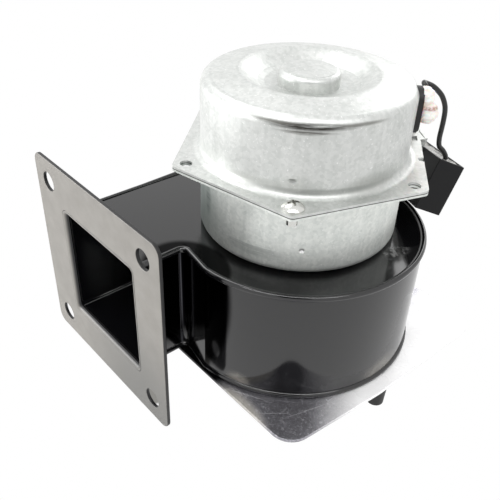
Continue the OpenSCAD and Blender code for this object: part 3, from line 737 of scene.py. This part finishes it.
# %% [markdown]
# ## Supply lead
#
# One round lead of half a metre. It leaves the grommet inside its sleeve, hangs down behind
# the motor, and its spare length lies on the floor behind the scroll in a tied coil of two
# turns. It could be simulated as a rope, but a lead that hangs still is as well drawn by a
# smooth curve through a row of points that keep to its bends and its length.

# %% The lead's route and coil
ROUTE = [
    (26.06, 37, 98.6), (23.2, 38.5, 96.2), (20.3, 40.5, 93.6), (18.4, 43.4, 91.9),
    (15.8, 47.4, 91), (12.2, 51, 89.6), (7, 54.5, 87), (2.5, 57.6, 82.5),
    (-1.5, 60.4, 77), (-2.5, 61.8, 70), (-4, 63, 60), (-5, 63.8, 48), (-5.8, 64.3, 34),
    (-6.4, 64.7, 20), (-7, 65, 6), (-7.6, 65.8, -5), (-8.8, 68, -12), (-10.6, 72, -15.4),
    (-13, 78, -15.9), (-15.6, 84.5, -15.9), (-18, 91, -15.5), (-19.5, 97, -15.1),
]
COIL_X, COIL_Y, COIL_Z = -50, 100, -15.1
COIL_R, STEP_IN, A_TURN = 30, 5, 96
LEAD_D = 5


def smooth_route(points, steps=6):
    """A smooth curve through the points, as a close row of points."""
    p = [Vector(q) for q in points]
    p = [2 * p[0] - p[1]] + p + [2 * p[-1] - p[-2]]
    out = []
    for a, b, c, d in zip(p, p[1:], p[2:], p[3:]):
        for t in [k / steps for k in range(steps)]:
            out.append(0.5 * (2 * b + (c - a) * t + (2 * a - 5 * b + 4 * c - d) * t * t
                              + (3 * b - a - 3 * c + d) * t ** 3))
    return out + [p[-2]]


def round_bar(name, radius_mm, *runs):
    """Round bars along rows of points, as one curve. A curve's bounds count each point's
    radius, so that is where the bar's own radius goes, and the bevel is 1."""
    data = bpy.data.curves.new(name, "CURVE")
    data.dimensions, data.use_fill_caps = "3D", True
    data.bevel_depth, data.bevel_resolution = 1, 5
    for points in runs:
        spline = data.splines.new("POLY")
        spline.points.add(len(points) - 1)
        for p, q in zip(spline.points, points):
            p.co, p.radius = (*q, 1), radius_mm * MM
    return link(name, data)


lead_points = smooth_route(ROUTE)
for k in range(1, 2 * A_TURN - 4):
    # the second turn lies inside the first, a lead's width further in
    r = COIL_R - STEP_IN * min(1, max(0, (k / A_TURN - 0.8) / 0.4))
    angle = 2 * pi * k / A_TURN - 0.03
    lead_points.append(Vector((COIL_X + r * cos(angle), COIL_Y + r * sin(angle), COIL_Z)))
lead_points = [at(*p) for p in lead_points]
lead = round_bar("supply_lead_soft", LEAD_D / 2, lead_points)
fit(lead, lead_grey, "lead_plastic", "supply_lead", "lead_coil")

# %% [markdown]
# ## Rolled seams
#
# The scroll's wall is held to its two plates by rolled seams, which show as round beads
# along its top and bottom. A bead is a bar swept along the wall's plan: from the duct's
# inner wall round the tongue, along the narrow side, and round the wide side to the duct's
# outer wall.

# %% Sweep the seams
SEAM, SEAM_RISE = 2.6, 1.1
SCROLL_R, SCROLL_X, SCROLL_Y, GROWTH = 51.5, 2, -1, 12
TONGUE_R, TONGUE_Y, JOIN = 2.8, -50.2, 3
DUCT_OUTER = SCROLL_X - SCROLL_R - GROWTH
DUCT_INNER = DUCT_OUTER + DUCT + 2 * WALL
TONGUE = (DUCT_INNER + TONGUE_R, TONGUE_Y - TONGUE_R)
BACK = (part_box("outlet_flange")[1][1] - AY) / MM
SCROLL_TOP = (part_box("scroll_top_plate")[1][2] - PLATE) / MM


def seam_path():
    """The middle of the wall's thickness, from the flange round to the flange."""
    inner, outer, r = DUCT_INNER - WALL / 2, DUCT_OUTER + WALL / 2, SCROLL_R - WALL / 2
    path = [(inner, BACK), (inner, (BACK + TONGUE[1]) / 2)]
    path += arc(*TONGUE, TONGUE_R + WALL / 2, 180, 90, 12)
    path += arc(SCROLL_X, SCROLL_Y, r, -90 + degrees(JOIN / r), 90, 96)
    path += arc(SCROLL_X, SCROLL_Y - GROWTH, r + GROWTH, 90, 180, 60)[1:]
    return path + [(outer, BACK / 2), (outer, BACK)]


SEAM_Z = [PLATE_T + SEAM / 2, SCROLL_TOP + SEAM_RISE - SEAM / 2]
beads = [[at(x, y, z) for x, y in seam_path()] for z in SEAM_Z]
seams = round_bar("rolled_seams", SEAM / 2, *beads)
# the top bead flattens out where it meets the flange at its outer end
for p in seams.data.splines[1].points[-2:]:
    p.radius *= 0.7
fit(seams, bead_black, "black_paint", "scroll_seams")
print("seams at", SEAM_Z)

# %% [markdown]
# ## Bend at the tongue
#
# Where duct and scroll meet, the wall turns in a rounded inner corner. It is filled by two
# thin-cornered slips of sheet: one from the floor to the top, and a wider one in the
# thickness of the top plate.

# %% Round the inner corner
slips = []
for r, bottom, top in ((TONGUE_R, PLATE_T + 0.1, SCROLL_TOP),
                       (TONGUE_R + 1.7, SCROLL_TOP - WALL, SCROLL_TOP)):
    rim = [(TONGUE[0] - r - 0.3, TONGUE[1] + r + 0.3)] + arc(*TONGUE, r, 90, 180, 16)
    slip = sheet_of("slip", [rim], top - bottom, 0.01)
    slip.location = at(0, 0, (bottom + top) / 2)
    slips.append(slip)
only(*slips)
bpy.ops.object.join()
bend_piece = bpy.context.object
bend_piece.name = "tongue_bend"
settle(bend_piece)
fit(bend_piece, black, "black_paint")
print("bend", len(bend_piece.data.polygons), "faces")

# %% [markdown]
# ## The capacitor's wire
#
# A thin black wire leaves the grommet, bows over and drops into the back of the capacitor.
# Like the lead, it is one smooth curve. Its points are given as seen at the grommet:
# outward from the motor, sideways and up.

# %% Bend the wire
GROMMET_AT = radians(41.3)
WIRE_R = 1.0
WIRE = [
    (43.2, 2, 110.2), (42.2, 3.6, 111.6), (41.8, 5.4, 112), (42.6, 7, 111.4),
    (45.2, 7, 110.5), (47.7, 7.5, 108.6), (49.7, 7.8, 106.4), (51.2, 8.2, 103.4),
    (51.9, 8.6, 100.7), (52.2, 9, 97.1), (52.3, 9.6, 93), (52.4, 10.4, 88.5),
    (53.1, 11, 85), (54.9, 11.7, 83), (56.4, 12, 80.8), (56.8, 12, 79.2),
]


def at_grommet(outward, sideways, up):
    """From the grommet's own directions to the model."""
    c, s = cos(GROMMET_AT), sin(GROMMET_AT)
    return at(outward * c - sideways * s, outward * s + sideways * c, up)


wire_points = [at_grommet(*p) for p in smooth_route(WIRE, 5)]
wire = round_bar("capacitor_wire_soft", WIRE_R, wire_points)
fit(wire, wire_black, "wire_plastic", "capacitor_wire")
print("wire", round(sum((q - p).length for p, q in zip(wire_points, wire_points[1:])), 4), "m")

# %% [markdown]
# ## Capacitor
#
# A small moulded box, open at the back and filled with resin, which hangs from the motor's
# flange by a strap. The box starts as a cube: its open side is inset to the wall's
# thickness and pushed in, and its edges are bevelled as a mould leaves them. The resin
# creeps up the walls and the wire as it sets, so its top is a grid whose points sink with
# their distance from both.

# %% The case
CASE_L, CASE_T, CASE_H = CASE = (40, 11.75, 21.6)
CASE_WALL, CASE_DEPTH = 1.2, 4
HANG = (Matrix.Translation(at(36.6, 39.5, 82.05)) @ Matrix.Rotation(radians(148.9), 4, "Z")
        @ Matrix.Rotation(radians(8.9), 4, "Y") @ Matrix.Rotation(radians(-158.6), 4, "X"))

bpy.ops.mesh.primitive_cube_add(size=1)
case = bpy.context.object
case.name = "capacitor_case_rounded"
case.scale = [c * MM for c in CASE]
case.location = [c * MM / 2 for c in CASE]
bpy.ops.object.transform_apply(location=True, rotation=False, scale=True)
bpy.ops.object.mode_set(mode="EDIT")
bm = bmesh.from_edit_mesh(case.data)
for f in bm.faces:
    f.select = f.normal.z < -0.9
bmesh.update_edit_mesh(case.data)
bpy.ops.mesh.inset(thickness=CASE_WALL * MM)
bpy.ops.mesh.extrude_region_move(TRANSFORM_OT_translate={"value": (0, 0, CASE_DEPTH * MM)})
bpy.ops.object.mode_set(mode="OBJECT")
modify(case, "BEVEL", width=0.35 * MM, segments=3, limit_method="ANGLE")
case.matrix_world = HANG
settle(case)
fit(case, case_black, "case_plastic", "capacitor_case")
print("case", len(case.data.polygons), "faces")

# %% The resin
POUR_L, POUR_T = CASE_L - 2.44, CASE_T - 2.44
WIRE_X, WIRE_Y = -14.4, -0.4
bpy.ops.object.select_all(action="DESELECT")
bpy.ops.mesh.primitive_grid_add(x_subdivisions=60, y_subdivisions=28, size=1)
pour = bpy.context.object
pour.name = "capacitor_resin"
for v in pour.data.vertices:
    x, y = v.co.x * POUR_L, v.co.y * POUR_T
    from_wall = min(POUR_L / 2 - abs(x), POUR_T / 2 - abs(y))
    from_wire = max(0, sqrt((x - WIRE_X) ** 2 + (y - WIRE_Y) ** 2) - WIRE_R)
    z = 0.75 - 0.45 * exp(-from_wall / 0.5) - 0.6 * exp(-from_wire / 0.7)
    z += 0.12 * sin(0.9 * x + 1.1) * cos(0.8 * y)
    v.co = Vector((x + CASE_L / 2, y + CASE_T / 2, z)) * MM
modify(pour, "SOLIDIFY", thickness=1.5 * MM, offset=1)
bpy.ops.object.shade_smooth()
pour.matrix_world = HANG
settle(pour)
fit(pour, resin, "potting_resin", "capacitor_potting")
print("resin", len(pour.data.polygons), "faces")

# %% [markdown]
# ## Sleeve
#
# A pale soft sleeve covers the lead and the wire where they leave the grommet, folded into
# two lobes. Soft tube squeezed like this has no clean outline, so each lobe is a row of
# balls that are melted into one skin by a voxel remesh and smoothed, and then waves of a
# fraction of a millimetre crinkle it.

# %% Lay the balls along the two folds
# each fold: where it starts, its radius, one step along it, and its steps
FOLDS = [((42.1, 0, 109.2), 3.6, (0, 0.5, -0.87), 5),
         ((44.2, 0, 102.9), 3.95, (0, 0.93, -0.367), 11)]
balls = []
for start, r, step, count in FOLDS:
    for k in range(count + 1):
        bpy.ops.mesh.primitive_uv_sphere_add(segments=24, ring_count=16, radius=r * MM)
        ball = bpy.context.object
        ball.location = at_grommet(*(p + k * s for p, s in zip(start, step)))
        balls.append(ball)
only(*balls)
bpy.ops.object.join()
sleeve = bpy.context.object
sleeve.name = "lead_sleeve_soft"
settle(sleeve)
print("balls", len(balls))

# %% Melt and crinkle them
modify(sleeve, "REMESH", mode="VOXEL", voxel_size=0.35 * MM, use_smooth_shade=True)
modify(sleeve, "SMOOTH", factor=0.5, iterations=4)
for v in sleeve.data.vertices:
    p = v.co / MM
    push = 0.16 * sin(2.1 * p.z + 1.3 * sin(0.9 * p.x)) + 0.1 * sin(3.7 * p.z - 2.1 * p.y)
    v.co += v.normal * push * MM
fit(sleeve, sleeve_pink, "sleeve_plastic", "lead_sleeve")
print("sleeve", len(sleeve.data.polygons), "faces")
